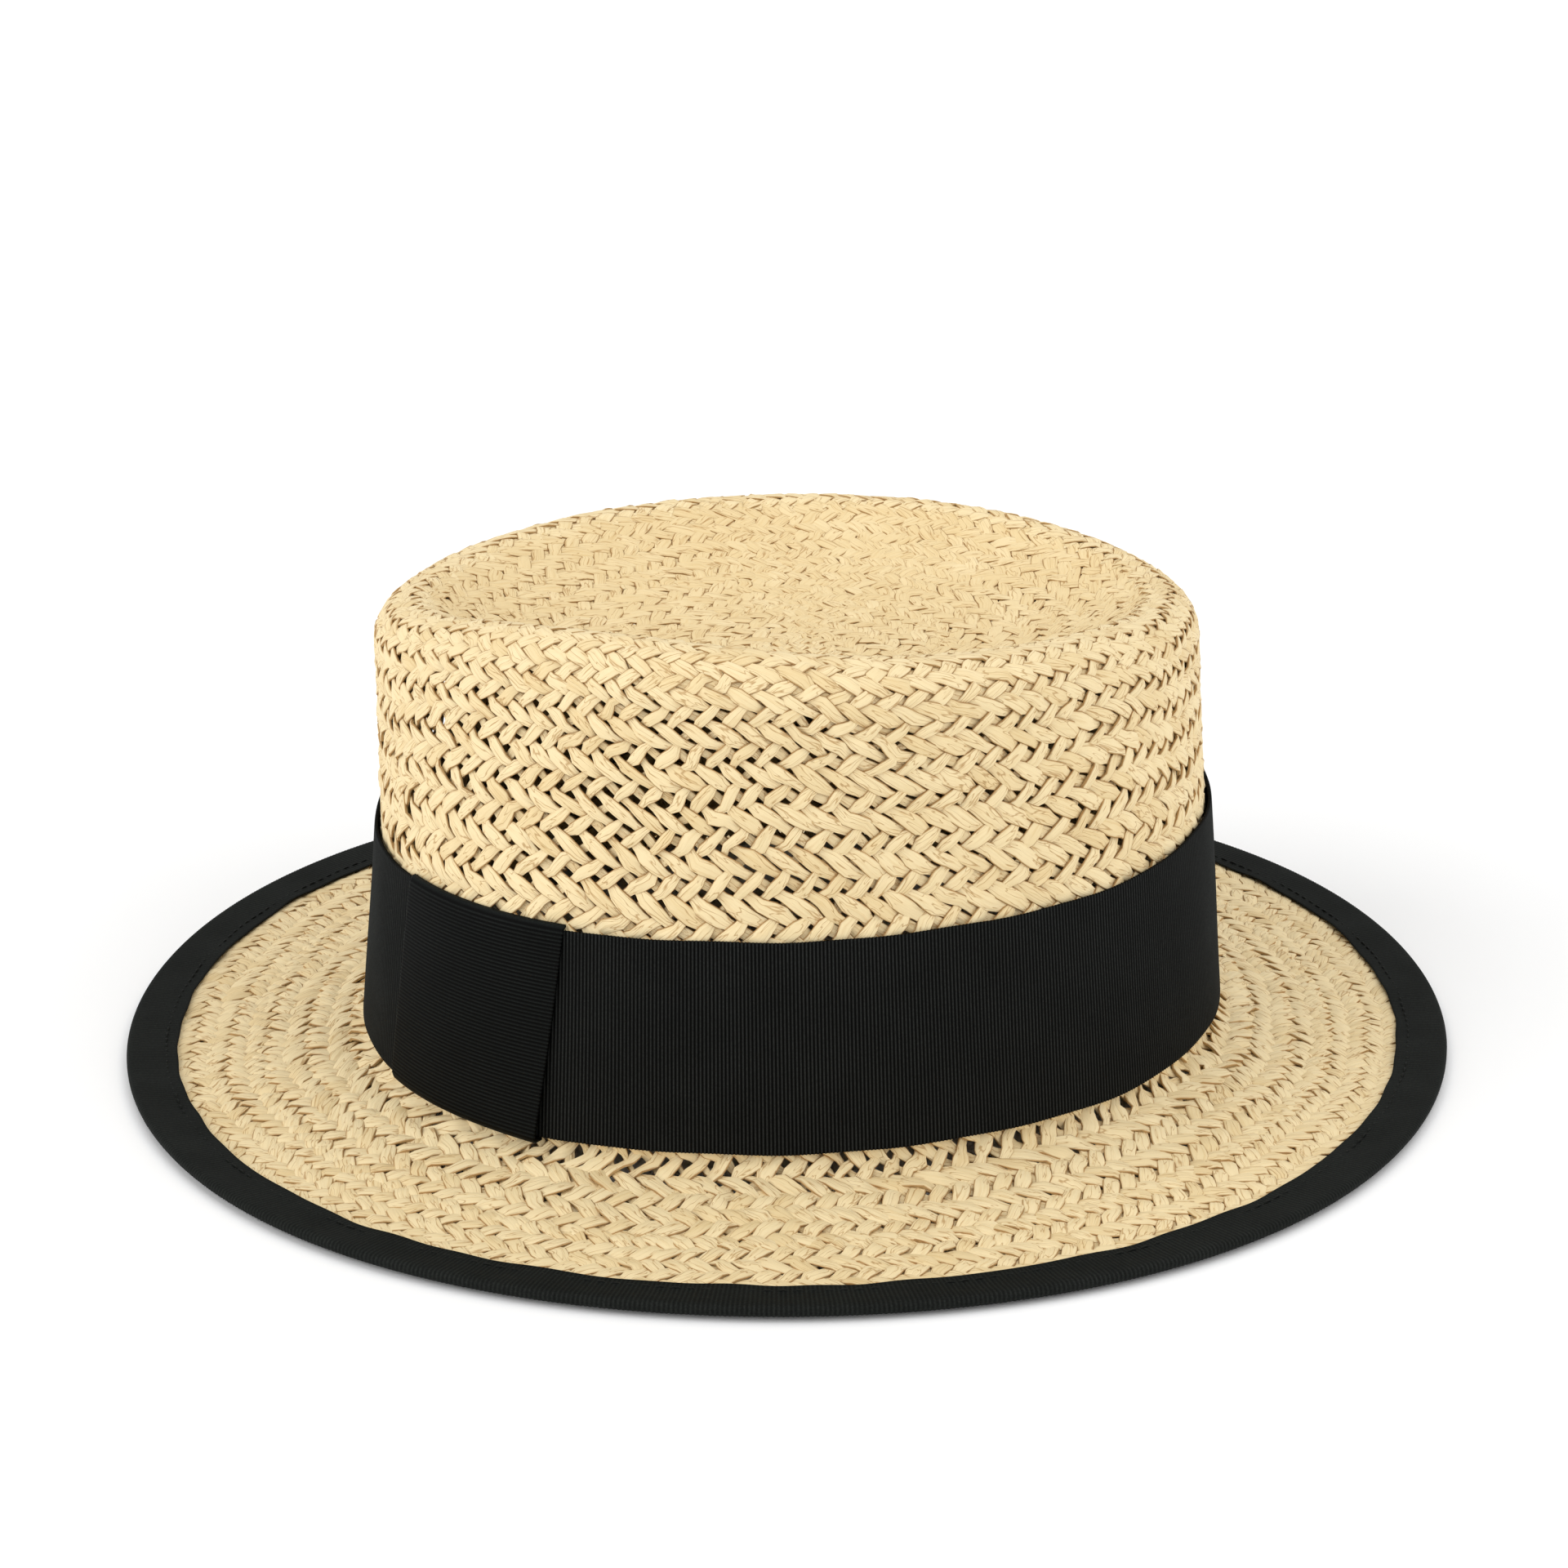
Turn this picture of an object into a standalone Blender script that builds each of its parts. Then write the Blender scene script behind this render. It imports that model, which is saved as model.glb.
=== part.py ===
# Straw hat with a sunken crown top, a ribbon band and a bound brim.
# X runs across the head, with the wearer's left at +X. Y runs along it, with the front at -Y.
# The brim rests on Z = 0 and the origin is under its middle. Sizes are in metres, angles in degrees.

import math

import bpy

# Crown, measured over the straw
FOOT_LENGTH = 0.1927
FOOT_WIDTH = 0.1800
FOOT_HEIGHT = 0.0083
FOOT_FILLET = 0.0012
WAIST_LENGTH = 0.1870
WAIST_WIDTH = 0.1699
RIM_LENGTH = 0.1846
RIM_WIDTH = 0.1651
RIM_HEIGHT = 0.1034
RIM_RADIUS = 0.0090
RIM_WAVE = 0.0074
DISH_DEPTH = 0.0160
DISH_ENTRY = 35.0

# Brim, measured over the binding
BRIM_LENGTH = 0.2972
BRIM_WIDTH = 0.2860
BRIM_FLARE = 1.9

# Straw, ribbons and the gaps between them
STRAW_WALL = 0.0012
RIBBON_WALL = 0.0010
CLEARANCE = 0.0003
BAND_HEIGHT = 0.0445
BINDING_WIDTH = 0.0113
WRAP_START = 79.4
WRAP_END = 107.2
WRAP_SLANT = 3.0
WRAP_FLARE = 0.0015

# How finely rings, arcs and curved stretches are divided
RING_STEPS = 72
BRIM_ROWS = 5
FILLET_ROWS = 3
WALL_ROWS = 4
RIM_ROWS = 7
DISH_ROWS = 7
FOLD_ROWS = 4
WRAP_STEPS = 10
WRAP_ROWS = 6

# Plan shapes: egg lengthens the front, square fills out the diagonals, as shares of the radius
PLANS = {
    # name: (egg, square)
    "brim": (0.000, -0.012),
    "foot": (-0.017, -0.013),
    "rim": (0.019, 0.004),
}

# Waves in the height of the crown's rim, as shares of RIM_WAVE
RIM_WAVES = (
    # waves round the rim, share by cosine, share by sine
    (1, -0.63, 1.00),
    (2, -0.02, -0.41),
    (3, 0.05, -0.11),
    (4, 0.04, 0.06),
)

COLOURS = {
    # name: (red, green, blue, roughness)
    "straw_body": (0.82, 0.68, 0.43, 0.70),
    "hat_band": (0.012, 0.012, 0.013, 0.60),
    "band_wrap": (0.014, 0.014, 0.015, 0.60),
    "brim_binding": (0.011, 0.011, 0.012, 0.65),
}

# Sizes that follow from the ones above
BINDING_HEIGHT = STRAW_WALL + 2 * RIBBON_WALL + 2 * CLEARANCE
STRAW_EDGE_TOP = RIBBON_WALL + CLEARANCE + STRAW_WALL
BAND_BOTTOM = FOOT_HEIGHT + FOOT_FILLET + RIBBON_WALL + 2 * CLEARANCE
BAND_TOP = BAND_BOTTOM + BAND_HEIGHT
RIM_START = RIM_HEIGHT - RIM_RADIUS


def mix(start, end, share):
    return start + (end - start) * share


def shares(rows):
    """From just above 0 up to 1, in equal steps."""
    return [row / rows for row in range(1, rows + 1)]


def rim_rise(angle):
    rise = 0.0
    for waves, by_cosine, by_sine in RIM_WAVES:
        rise += by_cosine * math.cos(waves * angle) + by_sine * math.sin(waves * angle)
    return RIM_WAVE * rise


def blend_plans(first, second, share):
    return [mix(a, b, share) for a, b in zip(PLANS[first], PLANS[second])]


def oval(length, width, height, plan, inset=0.0, rise=0.0):
    """One ring of the hat. inset pulls it in evenly, and rise is its share of the rim's waves."""
    return {
        "half_length": length / 2 - inset,
        "half_width": width / 2 - inset,
        "height": height,
        "plan": plan,
        "rise": rise,
    }


def oval_point(ring, angle, outset=0.0):
    egg, square = ring["plan"]
    scale = 1.0 + egg * math.sin(3 * angle) + square * (1.0 - math.cos(4 * angle)) / 2
    return (
        (ring["half_width"] + outset) * scale * math.cos(angle),
        (ring["half_length"] + outset) * scale * math.sin(angle),
        ring["height"] + ring["rise"] * rim_rise(angle),
    )


def ring_points(ring):
    turn = 2 * math.pi / RING_STEPS
    return [oval_point(ring, step * turn) for step in range(RING_STEPS)]


def wall_oval(height):
    """The straw's outer oval on the straight stretch that the band covers."""
    share = (height - FOOT_HEIGHT) / (BAND_TOP - FOOT_HEIGHT)
    return oval(
        mix(FOOT_LENGTH, WAIST_LENGTH, share),
        mix(FOOT_WIDTH, WAIST_WIDTH, share),
        height,
        PLANS["foot"],
    )


def brim_oval(inset, height):
    return oval(BRIM_LENGTH, BRIM_WIDTH, height, PLANS["brim"], inset)


def skin(name, rows, closed_rows, tip=None):
    """A surface through rows of points. closed_rows joins each row's ends, and tip closes the last one."""
    width = len(rows[0])
    points = [point for row in rows for point in row]
    faces = []
    for row in range(len(rows) - 1):
        for step in range(width if closed_rows else width - 1):
            near = row * width + step
            beside = row * width + (step + 1) % width
            faces.append((near, beside, beside + width, near + width))
    if tip:
        last = (len(rows) - 1) * width
        points.append(tip)
        for step in range(width):
            faces.append((last + step, last + (step + 1) % width, len(points) - 1))
    mesh = bpy.data.meshes.new(name)
    mesh.from_pydata(points, [], faces)
    mesh.shade_smooth()
    return mesh


def material(name):
    red, green, blue, roughness = COLOURS[name]
    made = bpy.data.materials.new(name)
    made.use_nodes = True
    shader = made.node_tree.nodes["Principled BSDF"]
    shader.inputs["Base Color"].default_value = (red, green, blue, 1.0)
    shader.inputs["Roughness"].default_value = roughness
    shader.inputs["Metallic"].default_value = 0.0
    return made


def add_shell(name, mesh, wall, side, collection):
    """Gives a surface its wall: side -1 puts it behind the surface, and 1 in front of it."""
    made = bpy.data.objects.new(name, mesh)
    mesh.materials.append(material(name))
    collection.objects.link(made)
    solidify = made.modifiers.new("wall", "SOLIDIFY")
    solidify.thickness = wall
    solidify.offset = side
    solidify.use_even_offset = True
    solidify.use_rim = True
    return made


def brim_rings():
    """From the straw's edge in the fold, flat under the binding, then ever steeper up to the crown."""
    flat_end = BINDING_WIDTH + CLEARANCE
    rings = [
        brim_oval(BINDING_HEIGHT / 2, STRAW_EDGE_TOP),
        brim_oval(flat_end, STRAW_EDGE_TOP),
    ]
    for share in shares(BRIM_ROWS)[:-1]:
        rings.append(
            oval(
                mix(BRIM_LENGTH - 2 * flat_end, FOOT_LENGTH + 2 * FOOT_FILLET, share),
                mix(BRIM_WIDTH - 2 * flat_end, FOOT_WIDTH + 2 * FOOT_FILLET, share),
                mix(STRAW_EDGE_TOP, FOOT_HEIGHT, share**BRIM_FLARE),
                blend_plans("brim", "foot", share),
            )
        )
    return rings


def wall_rings():
    """The fillet at the crown's foot, the straight stretch behind the band, and up to the rim."""
    rings = []
    for row in range(FILLET_ROWS + 1):
        turn = math.pi / 2 * row / FILLET_ROWS
        height = FOOT_HEIGHT + FOOT_FILLET * (1.0 - math.cos(turn))
        outset = FOOT_FILLET * (1.0 - math.sin(turn))
        rings.append(oval(FOOT_LENGTH, FOOT_WIDTH, height, PLANS["foot"], -outset))
    rings.append(oval(WAIST_LENGTH, WAIST_WIDTH, BAND_TOP, PLANS["foot"]))
    for share in shares(WALL_ROWS):
        rings.append(
            oval(
                mix(WAIST_LENGTH, RIM_LENGTH, share),
                mix(WAIST_WIDTH, RIM_WIDTH, share),
                mix(BAND_TOP, RIM_START, share),
                blend_plans("foot", "rim", share),
                rise=share,
            )
        )
    return rings


def top_rings():
    """Over the rounded rim, then down into the dish."""
    sweep = math.pi / 2 + math.radians(DISH_ENTRY)
    rings = []
    for share in shares(RIM_ROWS):
        inset = RIM_RADIUS * (1.0 - math.cos(sweep * share))
        height = RIM_START + RIM_RADIUS * math.sin(sweep * share)
        rings.append(oval(RIM_LENGTH, RIM_WIDTH, height, PLANS["rim"], inset, rise=1.0))
    length, width = 2 * rings[-1]["half_length"], 2 * rings[-1]["half_width"]
    lip = rings[-1]["height"]
    curve = math.tan(math.radians(DISH_ENTRY)) * width / 2 / DISH_DEPTH
    for share in shares(DISH_ROWS)[:-1]:
        left = 1.0 - share
        height = lip - DISH_DEPTH * (1.0 - left**curve)
        rings.append(oval(length * left, width * left, height, PLANS["rim"], rise=left * left))
    return rings, (0.0, 0.0, lip - DISH_DEPTH)


def add_straw_body(collection):
    top, tip = top_rings()
    rows = [ring_points(ring) for ring in brim_rings() + wall_rings() + top]
    mesh = skin("straw_body", rows, True, tip)
    return add_shell("straw_body", mesh, STRAW_WALL, -1, collection)


def add_hat_band(collection):
    rows = []
    for height in (BAND_BOTTOM, BAND_TOP):
        ring = wall_oval(height)
        ring["half_length"] += CLEARANCE
        ring["half_width"] += CLEARANCE
        rows.append(ring_points(ring))
    mesh = skin("hat_band", rows, True)
    return add_shell("hat_band", mesh, RIBBON_WALL, 1, collection)


def wrap_flare(along, up):
    """How far the wrap stands off the band: most at the lower corner of its far edge."""
    return WRAP_FLARE * along**4 * (1.0 - up) ** 2


def wrap_angle(along, up):
    return math.radians(mix(WRAP_START, WRAP_END, along) + WRAP_SLANT * (up - 0.5))


def wrap_column(along):
    """One upright line of the wrap's inner face, with the two ends that turn over the band's edges."""
    behind = CLEARANCE
    before = RIBBON_WALL + 2 * CLEARANCE
    bottom = BAND_BOTTOM - CLEARANCE
    top = BAND_TOP + CLEARANCE
    column = [oval_point(wall_oval(bottom), wrap_angle(along, 0.0), behind)]
    for row in range(WRAP_ROWS + 1):
        up = row / WRAP_ROWS
        outset = before + wrap_flare(along, up)
        column.append(oval_point(wall_oval(mix(bottom, top, up)), wrap_angle(along, up), outset))
    column.append(oval_point(wall_oval(top), wrap_angle(along, 1.0), behind))
    return column


def add_band_wrap(collection):
    columns = [wrap_column(step / WRAP_STEPS) for step in range(WRAP_STEPS + 1)]
    rows = [list(row) for row in zip(*columns)]
    mesh = skin("band_wrap", rows, False)
    return add_shell("band_wrap", mesh, RIBBON_WALL, 1, collection)


def add_brim_binding(collection):
    """Flat below, round the brim's edge, and flat above, seen from outside."""
    radius = BINDING_HEIGHT / 2
    rings = [brim_oval(BINDING_WIDTH, 0.0)]
    for row in range(FOLD_ROWS + 1):
        turn = math.pi * row / FOLD_ROWS
        inset = radius * (1.0 - math.sin(turn))
        rings.append(brim_oval(inset, radius * (1.0 - math.cos(turn))))
    rings.append(brim_oval(BINDING_WIDTH, BINDING_HEIGHT))
    mesh = skin("brim_binding", [ring_points(ring) for ring in rings], True)
    return add_shell("brim_binding", mesh, RIBBON_WALL, -1, collection)


def main():
    for old in list(bpy.data.objects):
        bpy.data.objects.remove(old, do_unlink=True)
    collection = bpy.data.collections.new("straw_hat")
    bpy.context.scene.collection.children.link(collection)
    add_straw_body(collection)
    add_hat_band(collection)
    add_band_wrap(collection)
    add_brim_binding(collection)


main()
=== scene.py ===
import math

import bpy
import numpy as np
from mathutils import Matrix, Vector


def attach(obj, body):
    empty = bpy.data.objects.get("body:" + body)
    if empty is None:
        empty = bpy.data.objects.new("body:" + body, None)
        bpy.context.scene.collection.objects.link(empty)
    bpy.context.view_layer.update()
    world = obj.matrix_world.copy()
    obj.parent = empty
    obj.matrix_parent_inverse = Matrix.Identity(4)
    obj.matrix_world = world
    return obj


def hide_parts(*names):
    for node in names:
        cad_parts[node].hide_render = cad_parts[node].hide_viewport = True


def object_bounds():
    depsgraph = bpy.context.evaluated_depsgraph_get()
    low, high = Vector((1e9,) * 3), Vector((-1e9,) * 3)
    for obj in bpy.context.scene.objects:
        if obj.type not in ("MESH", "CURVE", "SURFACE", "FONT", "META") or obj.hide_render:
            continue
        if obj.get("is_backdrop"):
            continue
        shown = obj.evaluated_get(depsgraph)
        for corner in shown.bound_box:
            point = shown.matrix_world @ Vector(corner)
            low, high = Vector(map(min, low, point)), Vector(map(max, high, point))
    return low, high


# A straw hat plaited from twisted paper, with a sunken crown top, a ribbed ribbon band
# and a ribbon bound brim. Metres, +Z up, the front at -Y, lying on its brim on Z = 0.

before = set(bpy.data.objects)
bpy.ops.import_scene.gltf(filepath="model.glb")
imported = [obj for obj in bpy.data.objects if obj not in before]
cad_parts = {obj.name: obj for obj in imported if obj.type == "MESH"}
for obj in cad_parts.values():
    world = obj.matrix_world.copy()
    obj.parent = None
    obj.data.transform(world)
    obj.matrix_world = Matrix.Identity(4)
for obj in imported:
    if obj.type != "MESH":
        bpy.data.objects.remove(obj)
cadLow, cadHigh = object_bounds()
print("frame loaded:", ", ".join(sorted(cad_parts)))

chance = np.random.default_rng(41)
fullTurn = 2 * math.pi

# The blocked form that straw and ribbons follow, over the straw
hatForm = {
    "brimLength": 0.2972,
    "brimWidth": 0.2860,
    "footLength": 0.1927,
    "footWidth": 0.1800,
    "footHeight": 0.0083,
    "footFillet": 0.0012,
    "waistLength": 0.1870,
    "waistWidth": 0.1699,
    "waistHeight": 0.0556,
    "rimLength": 0.1846,
    "rimWidth": 0.1651,
    "rimHeight": 0.1034,
    "rimRadius": 0.0090,
    "rimWave": 0.0074,
    "dishDepth": 0.0160,
    "dishEntry": 35.0,
    "brimEdgeTop": 0.0022,
    "brimFlat": 0.0116,
    "brimFlare": 1.9,
    "strawInset": 0.0010,  # the straw ends this far inside the brim's outline
}

# Plan shapes: egg lengthens the front, square fills out the diagonals
planShapes = {"brim": (0.000, -0.012), "foot": (-0.017, -0.013), "rim": (0.019, 0.004)}

# Waves round the rim's height: count, share by cosine, share by sine
rimWaves = ((1, -0.63, 1.00), (2, -0.02, -0.41), (3, 0.05, -0.11), (4, 0.04, 0.06))

# How finely each stretch of the profile is divided
profileSteps = {"brim": 9, "fillet": 5, "wall": 9, "rim": 15, "dish": 33}


def mix(start, end, share):
    return start + (end - start) * share


def rimRise(turn):
    total = 0 * turn
    for count, byCosine, bySine in rimWaves:
        total = total + byCosine * np.cos(count * turn) + bySine * np.sin(count * turn)
    return hatForm["rimWave"] * total


def hatStations():
    f = hatForm
    rows, marks = [], {}

    def station(length, width, height, plan, rise=0.0, inset=0.0):
        rows.append((length / 2 - inset, width / 2 - inset, height, plan[0], plan[1], rise))

    brim, foot, rim = (np.array(planShapes[name]) for name in ("brim", "foot", "rim"))
    station(f["brimLength"], f["brimWidth"], f["brimEdgeTop"], brim, inset=f["strawInset"])
    station(f["brimLength"], f["brimWidth"], f["brimEdgeTop"], brim, inset=f["brimFlat"])
    for share in np.linspace(0, 1, profileSteps["brim"])[1:-1]:
        station(
            mix(f["brimLength"] - 2 * f["brimFlat"], f["footLength"] + 2 * f["footFillet"], share),
            mix(f["brimWidth"] - 2 * f["brimFlat"], f["footWidth"] + 2 * f["footFillet"], share),
            mix(f["brimEdgeTop"], f["footHeight"], share ** f["brimFlare"]),
            mix(brim, foot, share),
        )
    for turn in np.linspace(0, math.pi / 2, profileSteps["fillet"]):
        outset = f["footFillet"] * (1 - math.sin(turn))
        height = f["footHeight"] + f["footFillet"] * (1 - math.cos(turn))
        station(f["footLength"], f["footWidth"], height, foot, inset=-outset)
    marks["foot"] = len(rows) - 1
    rimStart = f["rimHeight"] - f["rimRadius"]
    wall = rimStart - f["footHeight"]
    riseAtWaist = (f["waistHeight"] - f["footHeight"]) / wall
    for share in np.linspace(0, 1, profileSteps["wall"])[1:]:
        station(
            mix(f["footLength"], f["waistLength"], share),
            mix(f["footWidth"], f["waistWidth"], share),
            mix(f["footHeight"] + f["footFillet"], f["waistHeight"], share),
            foot,
            rise=riseAtWaist * share,
        )
    marks["waist"] = len(rows) - 1
    for share in np.linspace(0, 1, profileSteps["wall"])[1:]:
        station(
            mix(f["waistLength"], f["rimLength"], share),
            mix(f["waistWidth"], f["rimWidth"], share),
            mix(f["waistHeight"], rimStart, share),
            mix(foot, rim, share),
            rise=mix(riseAtWaist, 1, share),
        )
    marks["rimStart"] = len(rows) - 1
    sweep = math.pi / 2 + math.radians(f["dishEntry"])
    for share in np.linspace(0, 1, profileSteps["rim"])[1:]:
        inset = f["rimRadius"] * (1 - math.cos(sweep * share))
        height = rimStart + f["rimRadius"] * math.sin(sweep * share)
        station(f["rimLength"], f["rimWidth"], height, rim, rise=1.0, inset=inset)
    halfLength, halfWidth, lip = rows[-1][:3]
    curve = math.tan(math.radians(f["dishEntry"])) * halfWidth / f["dishDepth"]
    for share in np.linspace(0, 1, profileSteps["dish"])[1:]:
        left = 1 - share
        height = lip - f["dishDepth"] * (1 - left**curve)
        station(2 * halfLength * left, 2 * halfWidth * left, height, rim, rise=left**2)
    return np.array(rows), marks


stations, stationMarks = hatStations()
meanHalf = stations[:, :2].mean(axis=1)
steps = np.hypot(np.diff(meanHalf), np.diff(stations[:, 2]))
alongStations = np.concatenate([[0.0], np.cumsum(steps)])  # way from the brim's edge to the middle
alongAt = {name: float(alongStations[index]) for name, index in stationMarks.items()}
alongAt["middle"] = float(alongStations[-1])
print("profile:", {name: round(1000 * value, 1) for name, value in alongAt.items()})


# The brim's edge stands a little off the table, most at the back towards the wearer's right
edgeLift = {"most": 0.0010, "toward": 112.0, "evenness": 0.6, "reach": 0.0113}


def edgeCurl(turn, inset):
    lean = np.cos(turn - math.radians(edgeLift["toward"]))
    amount = edgeLift["most"] * mix(lean, 1, edgeLift["evenness"])
    return amount * np.clip(1 - inset / edgeLift["reach"], 0, 1) ** 1.5


def ovalPoint(turn, halfLength, halfWidth, height, egg, square):
    scale = 1 + egg * np.sin(3 * turn) + square * (1 - np.cos(4 * turn)) / 2
    across, lengthwise = halfWidth * scale * np.cos(turn), halfLength * scale * np.sin(turn)
    return np.stack([across, lengthwise, height], axis=-1)


def hatPoint(turn, along):
    # a point on the straw's outer face
    turn, along = np.broadcast_arrays(turn, along)
    column = [np.interp(along, alongStations, stations[:, k]) for k in range(6)]
    halfLength, halfWidth, height, egg, square, rise = column
    height = height + rise * rimRise(turn) + edgeCurl(turn, along)
    return ovalPoint(turn, halfLength, halfWidth, height, egg, square)


def unit(vectors):
    return vectors / np.maximum(np.linalg.norm(vectors, axis=-1, keepdims=True), 1e-12)


def hatNormal(turn, along):
    aside, ahead = 0.002, 0.0012  # how far each way the slope is taken, in radians and metres
    across = hatPoint(turn + aside, along) - hatPoint(turn - aside, along)
    inward = hatPoint(turn, along + ahead) - hatPoint(turn, along - ahead)
    return unit(np.cross(across, inward))


def makeMesh(name, points, quads, uvs, tones=None):
    mesh = bpy.data.meshes.new(name)
    mesh.vertices.add(len(points))
    mesh.vertices.foreach_set("co", np.ascontiguousarray(points, np.float32).ravel())
    mesh.loops.add(quads.size)
    mesh.loops.foreach_set("vertex_index", np.ascontiguousarray(quads, np.int32).ravel())
    mesh.polygons.add(len(quads))
    mesh.polygons.foreach_set("loop_start", np.arange(0, quads.size, 4, dtype=np.int32))
    mesh.update(calc_edges=True)
    layer = mesh.uv_layers.new(name="lengthwise")
    layer.data.foreach_set("uv", np.ascontiguousarray(uvs, np.float32).ravel())
    if tones is not None:
        made = mesh.attributes.new("strandTone", "FLOAT", "POINT")
        made.data.foreach_set("value", np.ascontiguousarray(tones, np.float32))
    mesh.shade_smooth()
    made = bpy.data.objects.new(name, mesh)
    bpy.context.scene.collection.objects.link(made)
    return made


# How the fibres run along a strand: uv units a metre, and the most that a strand is shifted
fibreUv = {"perMetre": 100, "shift": 40}


def sweepStrands(centres, normals, widths, thicks, rolls, sides, squareness):
    # rounded bars along every row of centres: points, quads, uvs and a tone for each point
    strands, rings = centres.shape[:2]
    ahead = unit(np.gradient(centres, axis=1))
    across = unit(np.cross(ahead, normals))
    upward = np.cross(across, ahead)
    turned = across * np.cos(rolls)[..., None] + upward * np.sin(rolls)[..., None]
    raised = upward * np.cos(rolls)[..., None] - across * np.sin(rolls)[..., None]
    around = -math.pi / 2 + fullTurn * np.arange(sides) / sides
    flat = np.sign(np.cos(around)) * np.abs(np.cos(around)) ** squareness
    tall = np.sign(np.sin(around)) * np.abs(np.sin(around)) ** squareness
    points = (
        centres[:, :, None]
        + turned[:, :, None] * (widths[..., None] / 2 * flat)[..., None]
        + raised[:, :, None] * (thicks[..., None] / 2 * tall)[..., None]
    )
    number = np.arange(strands * rings * sides).reshape(strands, rings, sides)
    beside = np.roll(number, -1, axis=2)
    walls = np.stack([number[:, :-1], beside[:, :-1], beside[:, 1:], number[:, 1:]], axis=-1)
    travelled = np.zeros((strands, rings))
    travelled[:, 1:] = np.cumsum(np.linalg.norm(np.diff(centres, axis=1), axis=2), axis=1)
    start = chance.uniform(0, fibreUv["shift"], (strands, 1))
    far = (start + fibreUv["perMetre"] * travelled)[..., None] + np.zeros(sides)
    left = np.broadcast_to(np.arange(sides) / sides, (strands, rings, sides))
    right = left + 1 / sides
    wallUvs = np.stack(
        [
            np.stack([left[:, :-1], far[:, :-1]], -1),
            np.stack([right[:, :-1], far[:, :-1]], -1),
            np.stack([right[:, 1:], far[:, 1:]], -1),
            np.stack([left[:, 1:], far[:, 1:]], -1),
        ],
        axis=-2,
    )
    caps, capUvs = [], []
    for ring, order in ((0, (3, 2, 1, 0)), (rings - 1, (0, 1, 2, 3))):
        for step in range(sides // 2 - 1):
            corners = (step, step + 1, sides - 2 - step, sides - 1 - step)
            picked = [corners[k] for k in order]
            caps.append(number[:, ring, picked])
            capUvs.append(np.stack([left[:, ring, picked], far[:, ring, picked]], -1))
    quads = np.concatenate([walls.reshape(-1, 4)] + caps)
    uvs = np.concatenate([wallUvs.reshape(-1, 4, 2)] + capUvs)
    tones = np.repeat(chance.uniform(0, 1, strands), rings * sides)
    return points.reshape(-1, 3), quads, uvs, tones


def joinParts(parts):
    points, quads, uvs, tones = [], [], [], []
    count = 0
    for part in parts:
        points.append(part[0])
        quads.append(part[1] + count)
        uvs.append(part[2])
        tones.append(part[3])
        count += len(part[0])
    return [np.concatenate(x) for x in (points, quads, uvs, tones)]


# The plait: two families of strands, each over two and under two of the other
plait = {
    "strandThick": 0.00085,
    "lift": 0.00050,  # how far a strand rises over the others and dips under them
    "depth": 0.0010,  # the plait's middle under the outer face
    "dive": 0.00045,  # how far the ends of a ring go down at its seams
    "flatAtSeams": 0.5,
    "lean": 0.075,  # how far both families lean, in strand gaps for each row
    "leanDrift": 0.10,  # how much more they lean on the wearer's right than at the back
    "sides": 8,
    "squareness": 0.52,
    "narrowest": 0.0011,
    "widest": 0.0038,
    "hiddenFrom": 0.004,  # from here in under the band the strands have fewer points
    "calmWithin": 0.05,  # strands this near the middle of the top wander less
    "leastRadius": 0.006,
    "slackOver": 0.38,  # how much a strand thins in a loose spot where it lies on top
    "slackUnder": 3.2,  # and how much more for each share by which it is narrower below
    "evenThick": 0.3,  # the share of a strand's thickness that a lower relief leaves as it is
    "thinOver": 0.06,  # how much thinner a strand is where it lies on top
    # height and width along a strand, by rows: 4 rows for each time over and under
    "over": ((0, 1), (0.5, 1.12), (1, 1), (2, -1), (2.5, -1.12), (3, -1), (4, 1)),
    "belly": (
        (0, 1.02),
        (0.5, 1.06),
        (1, 1.02),
        (1.5, 0.84),
        (2, 0.84),
        (3, 0.84),
        (3.5, 0.84),
        (4, 1.02),
    ),
}

# How much the strands differ by chance
plaitChance = {
    "aside": 0.00036,
    "along": 0.7,  # as a share of aside
    "height": 0.00006,
    "width": 0.13,
    "thick": 0.10,
    "roll": 0.16,
}

# Height of the plait's rows: way along the profile, row height
rowTable = np.array(
    (
        (0.000, 0.00180),
        (0.022, 0.00200),
        (0.046, 0.00245),
        (0.054, 0.00250),
        (0.062, 0.00225),
        (0.106, 0.00214),
        (0.125, 0.00190),
        (0.142, 0.00152),
        (0.160, 0.00160),
        (0.234, 0.00185),
    )
)
fineSteps = 4000
fineWays = np.linspace(0, alongAt["middle"], fineSteps)
fineHeights = np.interp(fineWays, rowTable[:, 0], rowTable[:, 1])
rowCounts = np.cumsum(np.gradient(fineWays) / fineHeights)
# the rows start so that strands rising to the right lie on top just under the band
topRow = {"outside": 0.0025, "row": 2.5}
belowBand = np.interp(alongAt["foot"] - topRow["outside"], fineWays, rowCounts)
rowCounts = rowCounts + (topRow["row"] - belowBand) % 4

# Rings of plait: where each starts and its strands in a family
plaitRings = (
    ("brim", 0.0022, 186),
    ("brim", 0.0262, 152),
    ("brim", 0.0408, 126),
    ("crown", 0.0650, 96),
    ("dish", 0.1555, 96),
    ("dish", 0.1810, 64),
    ("dish", 0.1990, 42),
    ("dish", 0.2110, 28),
    ("dish", 0.2190, 18),
    ("end", 0.2262, 0),
)

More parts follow.
